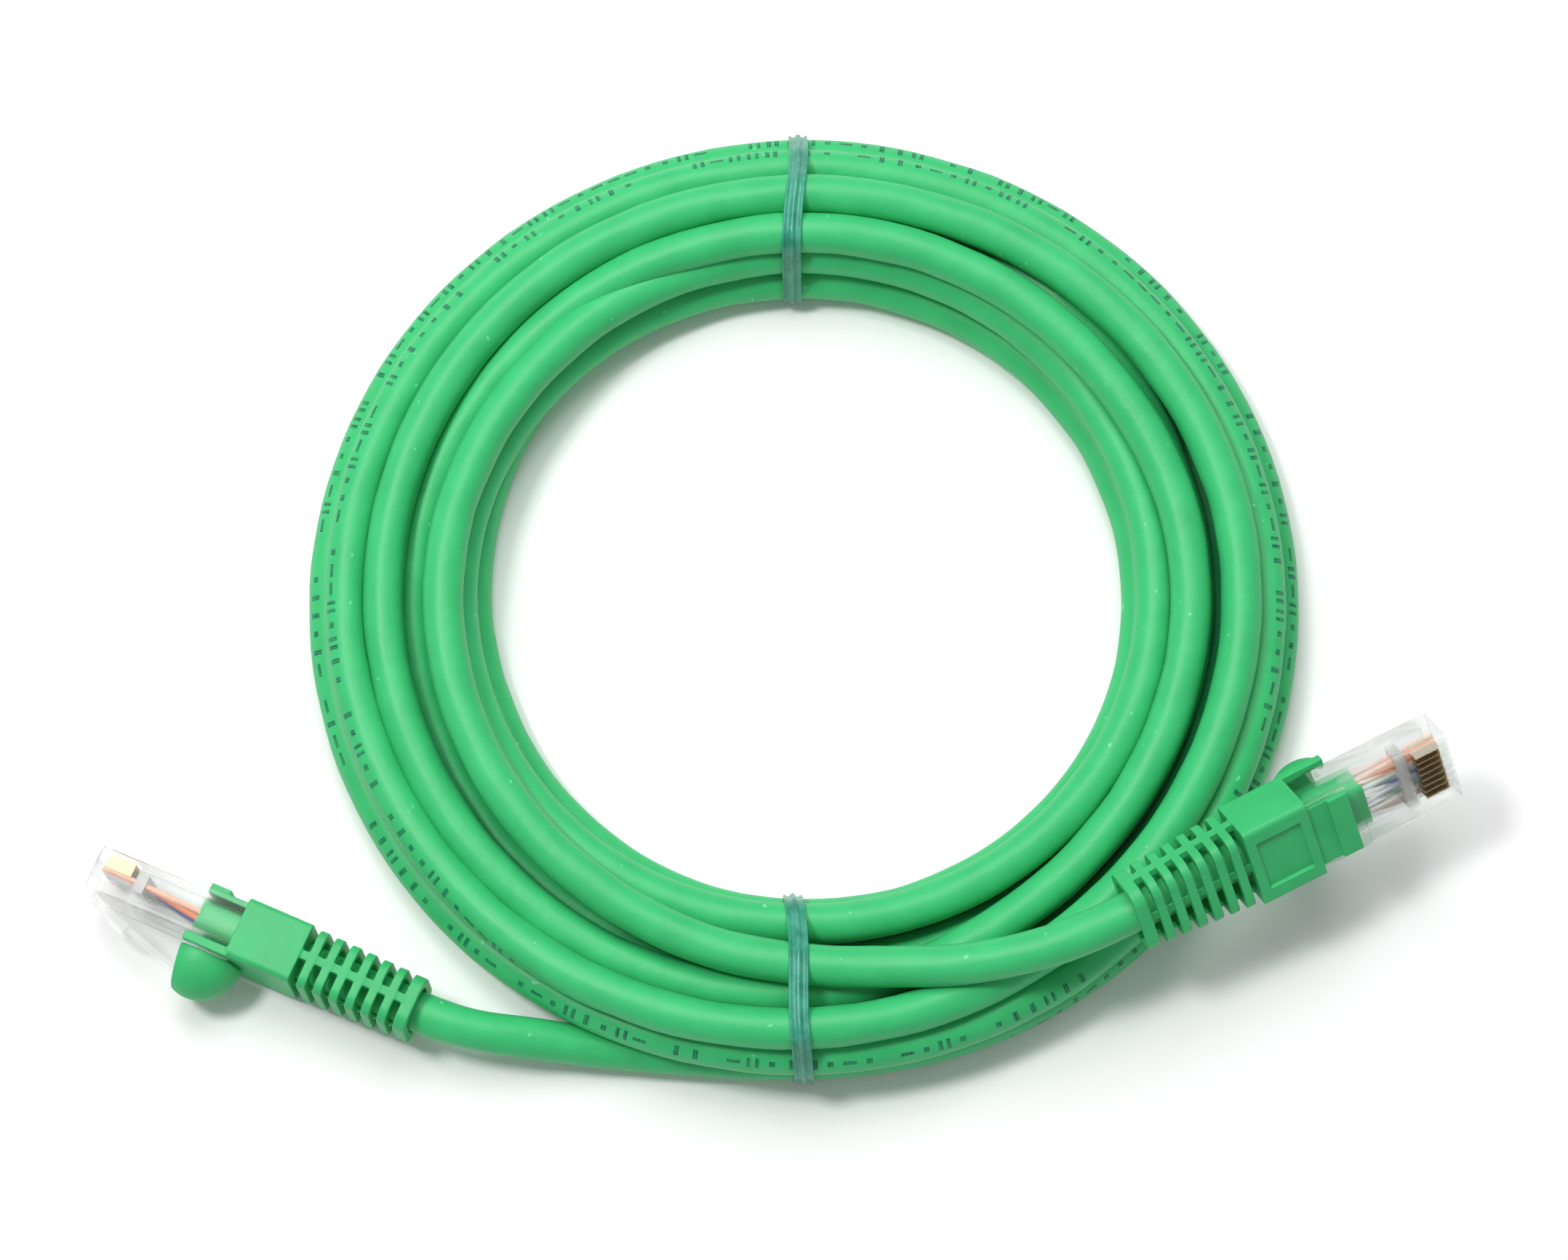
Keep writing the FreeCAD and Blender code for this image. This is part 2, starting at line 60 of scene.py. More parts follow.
# the two loose ends, relative to the coil's centre, from each boot to the coil
TAILS = {
    "a": [
        Vector((-0.05748, -0.0620, 0.00761)), Vector((-0.05289, -0.06399, 0.00775)),
        Vector((-0.04759, -0.06541, 0.00728)), Vector((-0.0398, -0.0663, 0.00572)),
        Vector((-0.0310, -0.0673, 0.0037)), Vector((-0.0212, -0.0681, 0.0030)),
    ],
    "b": [
        Vector((0.04754, -0.04962, 0.02077)), Vector((0.03952, -0.0537, 0.02093)),
        Vector((0.0303, -0.0564, 0.0199)), Vector((0.0206, -0.0576, 0.0176)),
        Vector((0.0109, -0.0574, 0.0158)),
    ],
}

# the turns, counter-clockwise, each from the lower tie: angle, distance from the centre, height
TURNS = (
    ((270, 0.0690, 0.0036), (0, 0.0706, 0.0030), (90, 0.0684, 0.0036), (180, 0.0709, 0.0030),
     (227, 0.0701, 0.0040), (242, 0.0697, 0.0074), (253, 0.0694, 0.0090)),
    ((270, 0.0692, 0.0098), (0, 0.0680, 0.0087), (90, 0.0647, 0.0095), (180, 0.0680, 0.0086),
     (228, 0.0673, 0.0102), (242, 0.0670, 0.0131)),
    ((270, 0.0662, 0.0150), (311, 0.0644, 0.0132), (0, 0.0640, 0.0136), (43, 0.0614, 0.0139),
     (90, 0.0592, 0.0142), (137, 0.0611, 0.0122), (180, 0.0622, 0.0102), (228, 0.0619, 0.0096)),
    ((270, 0.0606, 0.0102), (307, 0.0572, 0.0100), (0, 0.0566, 0.0132), (43, 0.0540, 0.0139),
     (90, 0.0532, 0.0144), (137, 0.0557, 0.0100), (180, 0.0583, 0.0048), (227, 0.0580, 0.0034)),
    ((270, 0.0555, 0.0036), (0, 0.0576, 0.0070), (22, 0.0574, 0.0080), (45, 0.0580, 0.0090),
     (67, 0.0605, 0.0064), (90, 0.0623, 0.0036), (180, 0.0645, 0.0030)),
    ((270, 0.0620, 0.0036), (0, 0.0635, 0.0030), (22, 0.0610, 0.0030), (45, 0.0576, 0.0030),
     (67, 0.0556, 0.0030), (90, 0.0558, 0.0036), (152, 0.0507, 0.0030), (180, 0.0496, 0.0030),
     (223, 0.0487, 0.0030)),
    ((270, 0.0486, 0.0036), (0, 0.0502, 0.0030), (90, 0.0494, 0.0036), (137, 0.0503, 0.0060),
     (180, 0.0514, 0.0088), (224, 0.0512, 0.0088), (243, 0.0507, 0.0092)),
    ((270, 0.0502, 0.0098), (0, 0.0517, 0.0090), (90, 0.0516, 0.0094), (138, 0.0517, 0.0120),
     (180, 0.0530, 0.0146), (225, 0.0543, 0.0142), (243, 0.0549, 0.0142)),
    ((270, 0.0568, 0.0149),),
)

# ---- ties: angle about the coil and how far the ribbon wanders to each side of it ----
TIES = {
    "top": {"angle": 91.3, "inner_shift": 0.0008, "outer_shift": -0.0006},
    "bottom": {"angle": 268.9, "inner_shift": -0.0010, "outer_shift": 0.0012},
}
RIBBON_STEP = 0.0004
RIBBON_LIFT = 0.0001
RIBBON_SWING = 0.0003
TIE_LIFT = 0.0005
TIE_CORE_RADIUS = 0.00022
TIE_CORE_HEIGHT = 0.36
TIE_CORE_SIDES = 10
STRAND_SIDES = 32
MM = 0.001

# ---- the skin of the mouldings: grid it is drawn on, and share of its faces that are kept ----
SKIN_VOXEL = 0.00013
SKIN_SHARE = 0.3

# ---- colours, linear, and the print on the jacket ----
JACKET_LIGHT = (0.047, 0.540, 0.186)
JACKET_DARK = (0.040, 0.480, 0.160)
BOOT_LIGHT = (0.046, 0.505, 0.170)
BOOT_DARK = (0.038, 0.445, 0.146)
NICK = (0.16, 0.68, 0.36)
NICK_SCALE = 640.0
NICK_LEVEL = 0.765
BOOT_NICK_LEVEL = 0.85
INK = (0.003, 0.100, 0.055)
PRINT_PITCH = 0.0027
PRINT_HEIGHT = 0.088
PRINT_DOT = 0.00040

# ---- where the printed row runs: degrees round the jacket, and metres along the cord ----
PRINT_UNDER = -110
PRINT_UP = 50
PRINT_RISE = 0.05
PRINT_FALL = 0.86
PRINT_TURN = 0.06

# ---- floor, lamps and camera ----
FLOOR_REACH = 1.5
SURROUND_STRENGTH = 0.33
LAMPS = (
    ("key", (-0.40, 0.12, 0.90), 0.18, 4.4),
    ("overhead", (-0.02, 0.44, 0.86), 0.60, 5.4),
)
SENSOR_WIDTH = 36.0
LENS = 99.85
CAMERA_TARGET = Vector((-0.003117, -0.004214, 0))
CAMERA_PLACE = Vector((-0.003117, -0.150432, 0.63334))


# ================================================================ materials

def new_material(name):
    """New material, its node tree and its shader."""
    material = bpy.data.materials.new(name)
    material.use_nodes = True
    tree = material.node_tree
    shader = tree.nodes["Principled BSDF"]
    return material, tree, shader


def math_node(tree, operation, a, b=None, c=None):
    """Math node; each operand is a number or an output."""
    node = tree.nodes.new("ShaderNodeMath")
    node.operation = operation
    for socket, value in zip(node.inputs, (a, b, c)):
        if value is None:
            continue
        if isinstance(value, bpy.types.NodeSocket):
            tree.links.new(value, socket)
        else:
            socket.default_value = value
    return node.outputs[0]


def noise_node(tree, vector, scale, detail=2.0):
    """Noise texture on a vector."""
    node = tree.nodes.new("ShaderNodeTexNoise")
    node.inputs["Scale"].default_value = scale
    node.inputs["Detail"].default_value = detail
    tree.links.new(vector, node.inputs["Vector"])
    return node.outputs["Fac"]


def ramp_node(tree, value, stops):
    """Colour ramp with (position, colour) stops."""
    node = tree.nodes.new("ShaderNodeValToRGB")
    elements = node.color_ramp.elements
    for index, (position, colour) in enumerate(stops):
        if index < 2:
            element = elements[index]
            element.position = position
        else:
            element = elements.new(position)
        element.color = (*colour, 1.0)
    tree.links.new(value, node.inputs["Fac"])
    return node.outputs["Color"]


def mix_node(tree, factor, first, second):
    """Colour mix; each operand is a colour or an output."""
    node = tree.nodes.new("ShaderNodeMix")
    node.data_type = "RGBA"
    for name, value in (("Factor_Float", factor), ("A_Color", first), ("B_Color", second)):
        socket = next(s for s in node.inputs if s.identifier == name)
        if isinstance(value, bpy.types.NodeSocket):
            tree.links.new(value, socket)
        else:
            socket.default_value = value if name == "Factor_Float" else (*value, 1.0)
    return next(s for s in node.outputs if s.identifier == "Result_Color")


def bump_node(tree, height, distance, normal=None):
    """Bump from a height in units of distance."""
    node = tree.nodes.new("ShaderNodeBump")
    node.inputs["Strength"].default_value = 1.0
    node.inputs["Distance"].default_value = distance
    tree.links.new(height, node.inputs["Height"])
    if normal is not None:
        tree.links.new(normal, node.inputs["Normal"])
    return node.outputs["Normal"]


def green_pvc(name, light, dark, roughness, nick_level=NICK_LEVEL):
    """Moulded green PVC: faint cloudiness, fine matt grain, and a few pale nicks."""
    material, tree, shader = new_material(name)
    place = tree.nodes.new("ShaderNodeTexCoord").outputs["Object"]
    cloud = noise_node(tree, place, 160.0, 3.0)
    colour = ramp_node(tree, cloud, ((0.3, dark), (0.7, light)))
    nicks = noise_node(tree, place, NICK_SCALE, 1.0)
    nick_mask = ramp_node(tree, nicks, ((nick_level, (0, 0, 0)), (nick_level + 0.03, (1, 1, 1))))
    colour = mix_node(tree, nick_mask, colour, NICK)
    tree.links.new(colour, shader.inputs["Base Color"])
    grain = noise_node(tree, place, 4200.0, 3.0)
    waves = noise_node(tree, place, 420.0, 2.0)
    normal = bump_node(tree, grain, 0.000014)
    normal = bump_node(tree, waves, 0.00007, normal)
    tree.links.new(normal, shader.inputs["Normal"])
    rough = math_node(tree, "MULTIPLY_ADD", cloud, 0.14, roughness - 0.07)
    tree.links.new(rough, shader.inputs["Roughness"])
    shader.inputs["Specular IOR Level"].default_value = 0.35
    shader.inputs["Subsurface Weight"].default_value = 0.05
    shader.inputs["Subsurface Radius"].default_value = (0.4, 1.0, 0.5)
    shader.inputs["Subsurface Scale"].default_value = 0.0008
    return material, tree, shader, place, colour


def step_node(tree, value, reach):
    """One where a value lies within a reach of nought, nought elsewhere."""
    return math_node(tree, "LESS_THAN", math_node(tree, "ABSOLUTE", value), reach)


def product(tree, *masks):
    """All the masks multiplied together."""
    result = masks[0]
    for mask in masks[1:]:
        result = math_node(tree, "MULTIPLY", result, mask)
    return result


def jacket_material():
    """Cord jacket: green PVC with a printed row of ticks, dashes and dots along it."""
    material, tree, shader, place, colour = green_pvc("jacket_pvc", JACKET_LIGHT, JACKET_DARK, 0.44)
    along_around = tree.nodes.new("ShaderNodeUVMap")
    along_around.uv_map = "cord"
    split = tree.nodes.new("ShaderNodeSeparateXYZ")
    tree.links.new(along_around.outputs["UV"], split.inputs["Vector"])
    along, around = split.outputs["X"], split.outputs["Y"]

    cell = math_node(tree, "DIVIDE", along, PRINT_PITCH)
    number = math_node(tree, "FLOOR", cell)
    middle = math_node(tree, "SUBTRACT", math_node(tree, "FRACT", cell), 0.5)
    row = math_node(tree, "DIVIDE", math_node(tree, "SUBTRACT", around, 0.5), PRINT_HEIGHT)
    chance = math_node(tree, "FRACT", math_node(tree, "MULTIPLY", math_node(tree, "SINE", number), 437.58))
    tick = product(tree, step_node(tree, middle, 0.14), step_node(tree, row, 0.5))
    pair = step_node(tree, math_node(tree, "SUBTRACT", math_node(tree, "ABSOLUTE", middle), 0.22), 0.11)
    pair = product(tree, pair, step_node(tree, row, 0.5))
    dash = product(tree, step_node(tree, middle, 0.36), step_node(tree, row, 0.17))
    dot = product(tree, step_node(tree, middle, 0.16), step_node(tree, row, 0.26))
    ink = None
    for mark, place_in_list in ((tick, 0), (pair, 1), (dash, 2), (dot, 3)):
        spread = math_node(tree, "SUBTRACT", math_node(tree, "MULTIPLY", chance, 5.0), place_in_list + 0.5)
        shown = product(tree, mark, step_node(tree, spread, 0.5))
        ink = shown if ink is None else math_node(tree, "ADD", ink, shown)
    dots = math_node(tree, "FRACT", math_node(tree, "DIVIDE", along, PRINT_DOT))
    needle = math_node(tree, "SUBTRACT", dots, 0.5)
    ink = product(tree, ink, step_node(tree, needle, 0.43))
    wear = noise_node(tree, place, 900.0, 2.0)
    ink = product(tree, ink, math_node(tree, "MULTIPLY_ADD", wear, 0.9, 0.35))
    colour = mix_node(tree, ink, colour, INK)
    tree.links.new(colour, shader.inputs["Base Color"])
    return material


def clear_material(name, tint, roughness):
    """Clear moulded polycarbonate with faint flow marks."""
    material, tree, shader = new_material(name)
    place = tree.nodes.new("ShaderNodeTexCoord").outputs["Object"]
    flow = noise_node(tree, place, 700.0, 2.0)
    normal = bump_node(tree, flow, 0.00002)
    tree.links.new(normal, shader.inputs["Normal"])
    shader.inputs["Base Color"].default_value = (*tint, 1.0)
    rough = math_node(tree, "MULTIPLY_ADD", flow, 0.06, roughness)
    tree.links.new(rough, shader.inputs["Roughness"])
    shader.inputs["Transmission Weight"].default_value = 1.0
    shader.inputs["IOR"].default_value = 1.42
    shader.inputs["Alpha"].default_value = 0.42
    return material


def comb_material():
    """Milky clear plastic of the wire guide."""
    material, tree, shader = new_material("load_bar_pc")
    place = tree.nodes.new("ShaderNodeTexCoord").outputs["Object"]
    cloud = noise_node(tree, place, 900.0, 2.0)
    colour = ramp_node(tree, cloud, ((0.3, (0.80, 0.80, 0.78)), (0.7, (0.92, 0.92, 0.91))))
    tree.links.new(colour, shader.inputs["Base Color"])
    rough = math_node(tree, "MULTIPLY_ADD", cloud, 0.1, 0.15)
    tree.links.new(rough, shader.inputs["Roughness"])
    shader.inputs["Transmission Weight"].default_value = 0.5
    shader.inputs["Alpha"].default_value = 0.8
    return material


def ribbon_material():
    """Translucent teal ribbon, cloudy with creases."""
    material, tree, shader = new_material("tie_ribbon_pe")
    place = tree.nodes.new("ShaderNodeTexCoord").outputs["Object"]
    cloud = noise_node(tree, place, 420.0, 3.0)
    colour = ramp_node(tree, cloud, ((0.3, (0.035, 0.36, 0.235)), (0.7, (0.12, 0.58, 0.42))))
    tree.links.new(colour, shader.inputs["Base Color"])
    normal = bump_node(tree, noise_node(tree, place, 2400.0, 2.0), 0.00003)
    tree.links.new(normal, shader.inputs["Normal"])
    rough = math_node(tree, "MULTIPLY_ADD", cloud, 0.2, 0.18)
    tree.links.new(rough, shader.inputs["Roughness"])
    shader.inputs["Transmission Weight"].default_value = 0.25
    shader.inputs["IOR"].default_value = 1.4
    shader.inputs["Alpha"].default_value = 0.78
    return material


def metal_material(name, light, dark, roughness):
    """Plated or bare metal with faint streaks."""
    material, tree, shader = new_material(name)
    place = tree.nodes.new("ShaderNodeTexCoord").outputs["Object"]
    streaks = noise_node(tree, place, 2500.0, 3.0)
    colour = ramp_node(tree, streaks, ((0.3, dark), (0.7, light)))
    tree.links.new(colour, shader.inputs["Base Color"])
    rough = math_node(tree, "MULTIPLY_ADD", streaks, 0.2, roughness - 0.1)
    tree.links.new(rough, shader.inputs["Roughness"])
    shader.inputs["Metallic"].default_value = 1.0
    return material


def insulation_material(name, light, dark):
    """Coloured polyethylene insulation of one wire."""
    material, tree, shader = new_material(name)
    place = tree.nodes.new("ShaderNodeTexCoord").outputs["Object"]
    cloud = noise_node(tree, place, 900.0, 2.0)
    colour = ramp_node(tree, cloud, ((0.3, dark), (0.7, light)))
    tree.links.new(colour, shader.inputs["Base Color"])
    normal = bump_node(tree, cloud, 0.00003)
    tree.links.new(normal, shader.inputs["Normal"])
    rough = math_node(tree, "MULTIPLY_ADD", cloud, 0.15, 0.28)
    tree.links.new(rough, shader.inputs["Roughness"])
    return material


def floor_material():
    """Plain pale floor."""
    material, tree, shader = new_material("floor_white")
    place = tree.nodes.new("ShaderNodeTexCoord").outputs["Object"]
    cloud = noise_node(tree, place, 4.0, 2.0)
    colour = ramp_node(tree, cloud, ((0.3, (0.955, 0.955, 0.955)), (0.7, (0.965, 0.965, 0.965))))
    tree.links.new(colour, shader.inputs["Base Color"])
    shader.inputs["Roughness"].default_value = 0.6
    shader.inputs["Specular IOR Level"].default_value = 0.2
    return material


def dress(piece, material):
    """The piece's only material."""
    piece.data.materials.clear()
    piece.data.materials.append(material)


# ================================================================ cord

def smooth_between(stations, at):
    """Distance and height at an angle, on a smooth line through the stations."""
    index = max(i for i in range(len(stations) - 1) if stations[i][0] <= at or i == 0)
    before, start, end, after = (
        stations[max(index - 1, 0)], stations[index],
        stations[index + 1], stations[min(index + 2, len(stations) - 1)],
    )
    span = end[0] - start[0]
    t = (at - start[0]) / span
    values = []
    for k in (1, 2):
        rise = end[k] - start[k]
        slopes = []
        for low, middle, high in ((before, start, end), (start, end, after)):
            one = (middle[k] - low[k]) / max(middle[0] - low[0], 1e-9)
            two = (high[k] - middle[k]) / max(high[0] - middle[0], 1e-9)
            slopes.append(2 * one * two / (one + two) if one * two > 0 else 0.0)
        m0, m1 = slopes[0] * span, slopes[1] * span
        values.append(
            start[k] + m0 * t + (3 * rise - 2 * m0 - m1) * t * t + (m0 + m1 - 2 * rise) * t ** 3
        )
    return values


def turn_points():
    """Control points of the coil's turns."""
    stations = []
    for lap, marks in enumerate(TURNS):
        for angle, distance, height in marks:
            stations.append((360 * lap + (angle - 270) % 360, distance, height))
    step = math.radians(TURN_STEP)
    stand_out = 1 / (0.75 + 0.25 * math.cos(step))
    points = []
    for at in range(0, stations[-1][0] + 1, TURN_STEP):
        distance, height = smooth_between(stations, at)
        angle = math.radians(270 + at)
        flat = Vector((math.cos(angle), math.sin(angle), 0)) * distance * stand_out
        if at % 180 == 0:
            height += TIE_LIFT
        points.append(flat + UP * height)
    return points


def cord_route():
    """The cord's control points from boot A through the coil to boot B."""
    return [COIL_CENTRE + p for p in TAILS["a"] + turn_points() + TAILS["b"][::-1]]


def spline_line(points, steps=6):
    """Points along the smooth line of a NURBS spline through a route."""
    curve = bpy.data.curves.new("route", "CURVE")
    curve.dimensions = "3D"
    curve.resolution_u = steps
    spline = curve.splines.new("NURBS")
    spline.points.add(len(points) - 1)
    for point, place in zip(spline.points, points):
        point.co = (*place, 1.0)
    spline.order_u = 3
    spline.use_endpoint_u = True
    holder = bpy.data.objects.new("route", curve)
    mesh = bpy.data.meshes.new_from_object(holder)
    line = [v.co.copy() for v in mesh.vertices]
    bpy.data.objects.remove(holder)
    bpy.data.meshes.remove(mesh)
    bpy.data.curves.remove(curve)
    return line


def new_object(name, mesh, material, smooth=True):
    """Object of a mesh, with a material, in the scene."""
    piece = bpy.data.objects.new(name, mesh)
    bpy.context.scene.collection.objects.link(piece)
    if smooth:
        mesh.polygons.foreach_set("use_smooth", [True] * len(mesh.polygons))
    dress(piece, material)
    return piece


def cord_radius(along, angle):
    """The jacket is a little lumpy over the twisted pairs in it."""
    spot = Vector((along * 135, 0.9 * math.cos(angle), 0.9 * math.sin(angle)))
    fine = Vector((along * 420, 2.2 * math.cos(angle), 2.2 * math.sin(angle)))
    return CORD_RADIUS * (1 + 0.05 * noise.noise(spot) + 0.012 * noise.noise(fine))


def print_angle(along):
    """Where the printed row runs round the jacket: under the loose end, up on the first turns."""
    risen = min(max((along - PRINT_RISE) / PRINT_TURN, 0), 1)
    fallen = min(max((along - PRINT_FALL) / PRINT_TURN, 0), 1)
    return math.radians(PRINT_UNDER + (PRINT_UP - PRINT_UNDER) * (risen - fallen))


def make_cord():
    """The whole cord, from boot to boot, as one tube."""
    line = spline_line(cord_route())
    mesh = bpy.data.meshes.new("cord")
    build = bmesh.new()
    uv = build.loops.layers.uv.new("cord")
    rings = []
    distances = []
    distance = 0.0
    for i, place in enumerate(line):
        ahead = line[min(i + 1, len(line) - 1)] - line[max(i - 1, 0)]
        out = ahead.cross(UP).normalized()
        up = out.cross(ahead).normalized()
        if i:
            distance += (place - line[i - 1]).length
        ring = []
        for k in range(CORD_SIDES):
            angle = 2 * math.pi * k / CORD_SIDES
            radius = cord_radius(distance, angle)
            spot = place + radius * (math.cos(angle) * out + math.sin(angle) * up)
            spot.z = max(spot.z, 0.0)
            ring.append(build.verts.new(spot))
        rings.append(ring)
        distances.append(distance)
    for i in range(len(rings) - 1):
        for k in range(CORD_SIDES):
            corners = (rings[i][k], rings[i + 1][k], rings[i + 1][(k + 1) % CORD_SIDES],
                       rings[i][(k + 1) % CORD_SIDES])
            face = build.faces.new(corners[::-1])
            whole = math.floor((k + 0.5) / CORD_SIDES - print_angle(distances[i]) / (2 * math.pi) + 0.5)
            for loop, (j, m) in zip(face.loops, ((i, k + 1), (i + 1, k + 1), (i + 1, k), (i, k))):
                turn = m / CORD_SIDES - print_angle(distances[j]) / (2 * math.pi) + 0.5
                loop[uv].uv = (distances[j], turn - whole)
    build.faces.new(rings[0])
    build.faces.new(rings[-1][::-1])
    build.to_mesh(mesh)
    build.free()
    cord = new_object("cord", mesh, jacket_material())
    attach(cord, "cable")
    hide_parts("cord_coil", "cord_tail_a", "cord_tail_b")
    return line


# ================================================================ ties

def strands_at(line, angle):
    """Distance from the coil's centre and height of every strand that crosses an angle."""
    across = Vector((math.cos(math.radians(angle)), math.sin(math.radians(angle)), 0))
    side = UP.cross(across)
    found = []
    for a, b in zip(line, line[1:]):
        sa, sb = (a - COIL_CENTRE).dot(side), (b - COIL_CENTRE).dot(side)
        if sa * sb <= 0 and sa != sb and (a - COIL_CENTRE).dot(across) > 0:
            place = a.lerp(b, sa / (sa - sb)) - COIL_CENTRE
            found.append((place.dot(across), place.z))
    return found


def hull(points):
    """Convex hull, counter-clockwise."""
    points = sorted(points)
    lines = []
    for row in (points, points[::-1]):
        chain = []
        for p in row:
            while len(chain) > 1 and (
                (chain[-1][0] - chain[-2][0]) * (p[1] - chain[-2][1])
                - (chain[-1][1] - chain[-2][1]) * (p[0] - chain[-2][0])
            ) <= 0:
                chain.pop()
            chain.append(p)
        lines += chain[:-1]
    return lines


def even_loop(points, step):
    """Points at even distances round a closed loop."""
    closed = points + points[:1]
    lengths = [math.dist(a, b) for a, b in zip(closed, closed[1:])]
    count = round(sum(lengths) / step)
    result = []
    index, walked = 0, 0.0
    for i in range(count):
        at = sum(lengths) * i / count
        while walked + lengths[index] < at:
            walked += lengths[index]
            index += 1
        t = (at - walked) / lengths[index]
        a, b = closed[index], closed[index + 1]
        result.append((a[0] + (b[0] - a[0]) * t, a[1] + (b[1] - a[1]) * t))
    return result


# the ribbon's section, in mm: across its width, and out from the strands
RIBBON_SECTION = (
    (-1.40, 0.00), (-1.43, 0.24), (-1.38, 0.46), (-1.22, 0.54), (-1.06, 0.46), (-0.94, 0.30),
    (-0.62, 0.26), (-0.44, 0.36), (-0.30, 0.62), (0.00, 0.76), (0.30, 0.62), (0.44, 0.36),
    (0.62, 0.26), (0.94, 0.30), (1.06, 0.46), (1.22, 0.54), (1.38, 0.46), (1.43, 0.24),
    (1.40, 0.00), (0.80, -0.04), (0.00, -0.06), (-0.80, -0.04),
)


def make_tie(place, line, material, core_material):
    """Ribbon with a raised core and edges, drawn tight round the strands, and the wire in it."""
    tie = TIES[place]
    across = Vector((math.cos(math.radians(tie["angle"])), math.sin(math.radians(tie["angle"])), 0))
    side = UP.cross(across)
    circle = [2 * math.pi * k / STRAND_SIDES for k in range(STRAND_SIDES)]
    outline = []
    for distance, height in strands_at(line, tie["angle"]):
        reach = CORD_RADIUS + RIBBON_LIFT
        outline += [(distance + reach * math.cos(a), height + reach * math.sin(a)) for a in circle]
    loop = even_loop(hull(outline), RIBBON_STEP)
    inner = min(p[0] for p in loop)
    outer = max(p[0] for p in loop)
    for name, section in (("tie_ribbon_" + place, RIBBON_SECTION), ("tie_wire_" + place, None)):
        build = bmesh.new()
        rings = []
        for i, (distance, height) in enumerate(loop):
            before, after = loop[i - 1], loop[(i + 1) % len(loop)]
            run = Vector((after[0] - before[0], after[1] - before[1])).normalized()
            out = across * run.y - UP * run.x
            share = (distance - inner) / (outer - inner)
            swing = RIBBON_SWING * math.sin(math.pi * 2 * share)
            shift = tie["inner_shift"] + (tie["outer_shift"] - tie["inner_shift"]) * share + swing
            middle = COIL_CENTRE + across * distance + UP * height + side * shift
            if section is None:
                core = TIE_CORE_RADIUS / MM
                points = [
                    (core * math.cos(a), TIE_CORE_HEIGHT + core * math.sin(a))
                    for a in (2 * math.pi * k / TIE_CORE_SIDES for k in range(TIE_CORE_SIDES))
                ][::-1]
            else:
                points = section
            rings.append([build.verts.new(middle + side * w * MM + out * t * MM) for w, t in points])
        for i, ring in enumerate(rings):
            following = rings[(i + 1) % len(rings)]
            for k in range(len(ring)):
                k2 = (k + 1) % len(ring)
                build.faces.new((ring[k], ring[k2], following[k2], following[k]))
        bmesh.ops.recalc_face_normals(build, faces=build.faces)
        mesh = bpy.data.meshes.new(name)
        build.to_mesh(mesh)
        build.free()
        piece = new_object(name + "_looks", mesh, material if section else core_material)
        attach(piece, "cable")
        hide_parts(name)


# ================================================================ boots and hoods

def softened(node, name):
    """Copy of a moulded CAD piece with slightly rounded edges."""
    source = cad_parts[node]
    mesh = source.data.copy()
    mesh.name = name
    piece = bpy.data.objects.new(name, mesh)
    bpy.context.scene.collection.objects.link(piece)
    skin = piece.modifiers.new("skin", "REMESH")
    skin.mode = "VOXEL"
    skin.voxel_size = SKIN_VOXEL
    relax = piece.modifiers.new("relax", "SMOOTH")
    relax.factor = 0.5
    relax.iterations = 2
    thin = piece.modifiers.new("thin", "DECIMATE")
    thin.ratio = SKIN_SHARE
    shape = bpy.data.meshes.new_from_object(
        piece.evaluated_get(bpy.context.evaluated_depsgraph_get())
    )
    bpy.data.objects.remove(piece)
    bpy.data.meshes.remove(mesh)
    return shape


def make_moulding(node, body, material):
    """A boot or a hood, standing for its CAD node."""
    mesh = softened(node, node + "_looks")
    piece = new_object(node + "_looks", mesh, material)
    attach(piece, body)
    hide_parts(node)


# ================================================================ stage

def make_stage():
    """Plain pale floor under the coil."""
    mesh = bpy.data.meshes.new("floor")
    build = bmesh.new()
    signs = ((-1, -1), (1, -1), (1, 1), (-1, 1))
    build.faces.new([build.verts.new((x * FLOOR_REACH, y * FLOOR_REACH, 0)) for x, y in signs])
    build.to_mesh(mesh)
    build.free()
    floor = new_object("floor", mesh, floor_material(), smooth=False)


def make_light(name, place, size, power):
    """Square area lamp that faces the coil."""
    data = bpy.data.lights.new(name, "AREA")
    data.size = size
    data.energy = power
    lamp = bpy.data.objects.new(name, data)
    lamp.location = place
    lamp.rotation_euler = (COIL_CENTRE - Vector(place)).to_track_quat("-Z", "Y").to_euler()
    bpy.context.scene.collection.objects.link(lamp)


def make_lights():
    """A small lamp from the left, a broad one from the far side, and soft surroundings."""
    world = bpy.data.worlds.new("studio")
    world.use_nodes = True
    world.node_tree.nodes["Background"].inputs["Color"].default_value = (1.0, 1.0, 1.0, 1.0)
    world.node_tree.nodes["Background"].inputs["Strength"].default_value = SURROUND_STRENGTH
    bpy.context.scene.world = world
    for lamp in LAMPS:
        make_light(*lamp)
    bpy.context.scene.view_settings.view_transform = "Standard"


def make_camera():
    """Looking down on the coil, a little from the front."""
    data = bpy.data.cameras.new("camera")
    data.sensor_width = SENSOR_WIDTH
    data.lens = LENS
    camera = bpy.data.objects.new("camera", data)
    target = COIL_CENTRE + CAMERA_TARGET
    camera.location = COIL_CENTRE + CAMERA_PLACE
    camera.rotation_euler = (target - camera.location).to_track_quat("-Z", "Y").to_euler()
    bpy.context.scene.collection.objects.link(camera)
    bpy.context.scene.camera = camera


# ================================================================ all of it

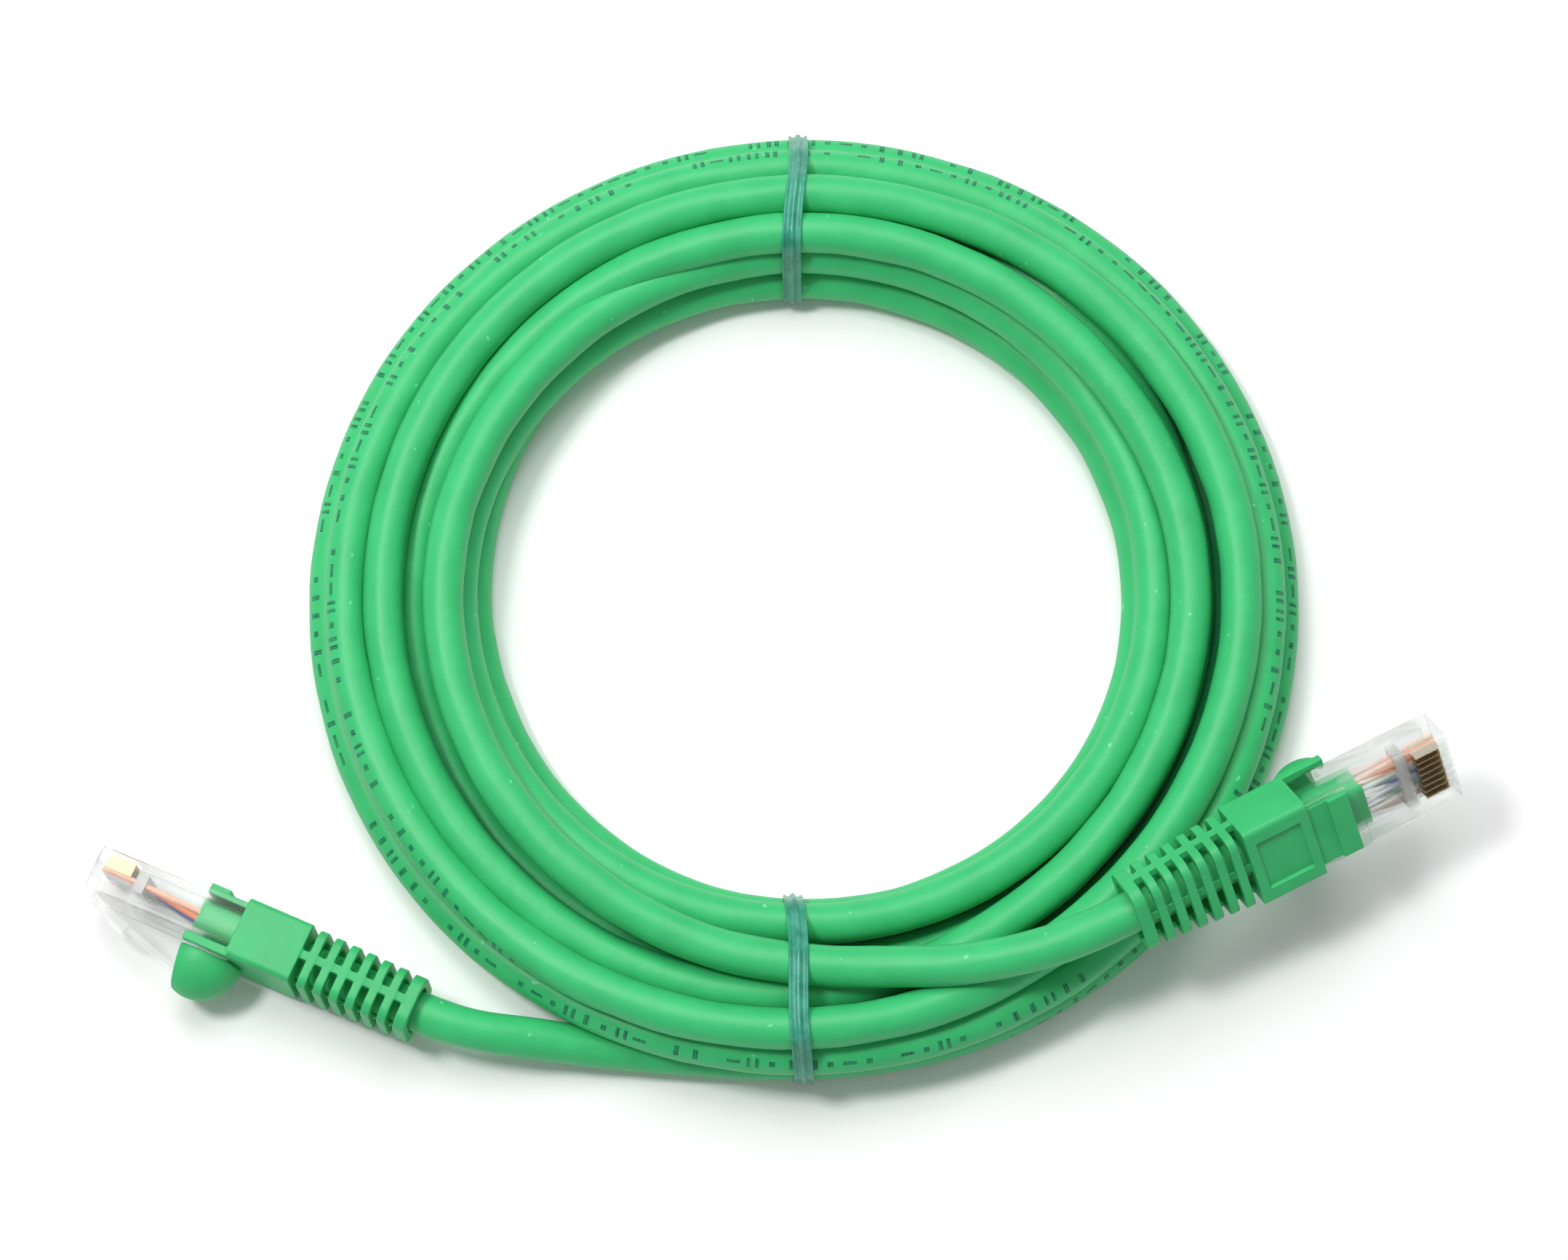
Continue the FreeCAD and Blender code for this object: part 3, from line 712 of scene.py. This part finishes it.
WIRE_COLOURS = {
    "white_orange": ((0.88, 0.52, 0.36), (0.82, 0.42, 0.27)),
    "orange": ((0.84, 0.22, 0.05), (0.76, 0.16, 0.03)),
    "white_green": ((0.74, 0.84, 0.76), (0.62, 0.76, 0.66)),
    "blue": ((0.008, 0.055, 0.30), (0.006, 0.040, 0.23)),
    "white_blue": ((0.66, 0.71, 0.78), (0.54, 0.61, 0.70)),
    "green": ((0.04, 0.30, 0.11), (0.03, 0.23, 0.08)),
    "white_brown": ((0.74, 0.64, 0.56), (0.60, 0.49, 0.42)),
    "brown": ((0.22, 0.09, 0.045), (0.16, 0.065, 0.03)),
}


def dress_nodes():
    """Materials of the CAD nodes that show as they are."""
    clear = clear_material("clear_plug_pc", (0.96, 0.97, 0.97), 0.02)
    comb = comb_material()
    gold = metal_material("contact_gold", (0.66, 0.50, 0.24), (0.44, 0.31, 0.15), 0.38)
    copper = metal_material("core_copper", (0.80, 0.42, 0.24), (0.62, 0.30, 0.16), 0.35)
    jacket_end = green_pvc("jacket_end_pvc", JACKET_LIGHT, JACKET_DARK, 0.42)[0]
    insulation = {
        colour: insulation_material("insulation_" + colour, light, dark)
        for colour, (light, dark) in WIRE_COLOURS.items()
    }
    for name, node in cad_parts.items():
        if name.startswith(("plug_body", "latch")):
            dress(node, clear)
        elif name.startswith("load_bar"):
            dress(node, comb)
        elif name.startswith("contact_"):
            dress(node, gold)
        elif name.startswith("copper_cores"):
            dress(node, copper)
        elif name.startswith("jacket_end"):
            dress(node, jacket_end)
        elif name.startswith("wire_"):
            dress(node, insulation[name[5:-2]])


def main():
    """Build every piece round the frame."""
    make_camera()
    line = make_cord()
    ribbon = ribbon_material()
    core = metal_material("tie_wire_steel", (0.55, 0.56, 0.56), (0.40, 0.41, 0.42), 0.4)
    for place in TIES:
        make_tie(place, line, ribbon, core)
    boot = green_pvc("boot_pvc", BOOT_LIGHT, BOOT_DARK, 0.46, BOOT_NICK_LEVEL)[0]
    for end in ENDS:
        make_moulding("boot_" + end, "cable", boot)
        make_moulding("hood_" + end, "hood_" + end, boot)
    dress_nodes()
    make_stage()
    make_lights()


main()
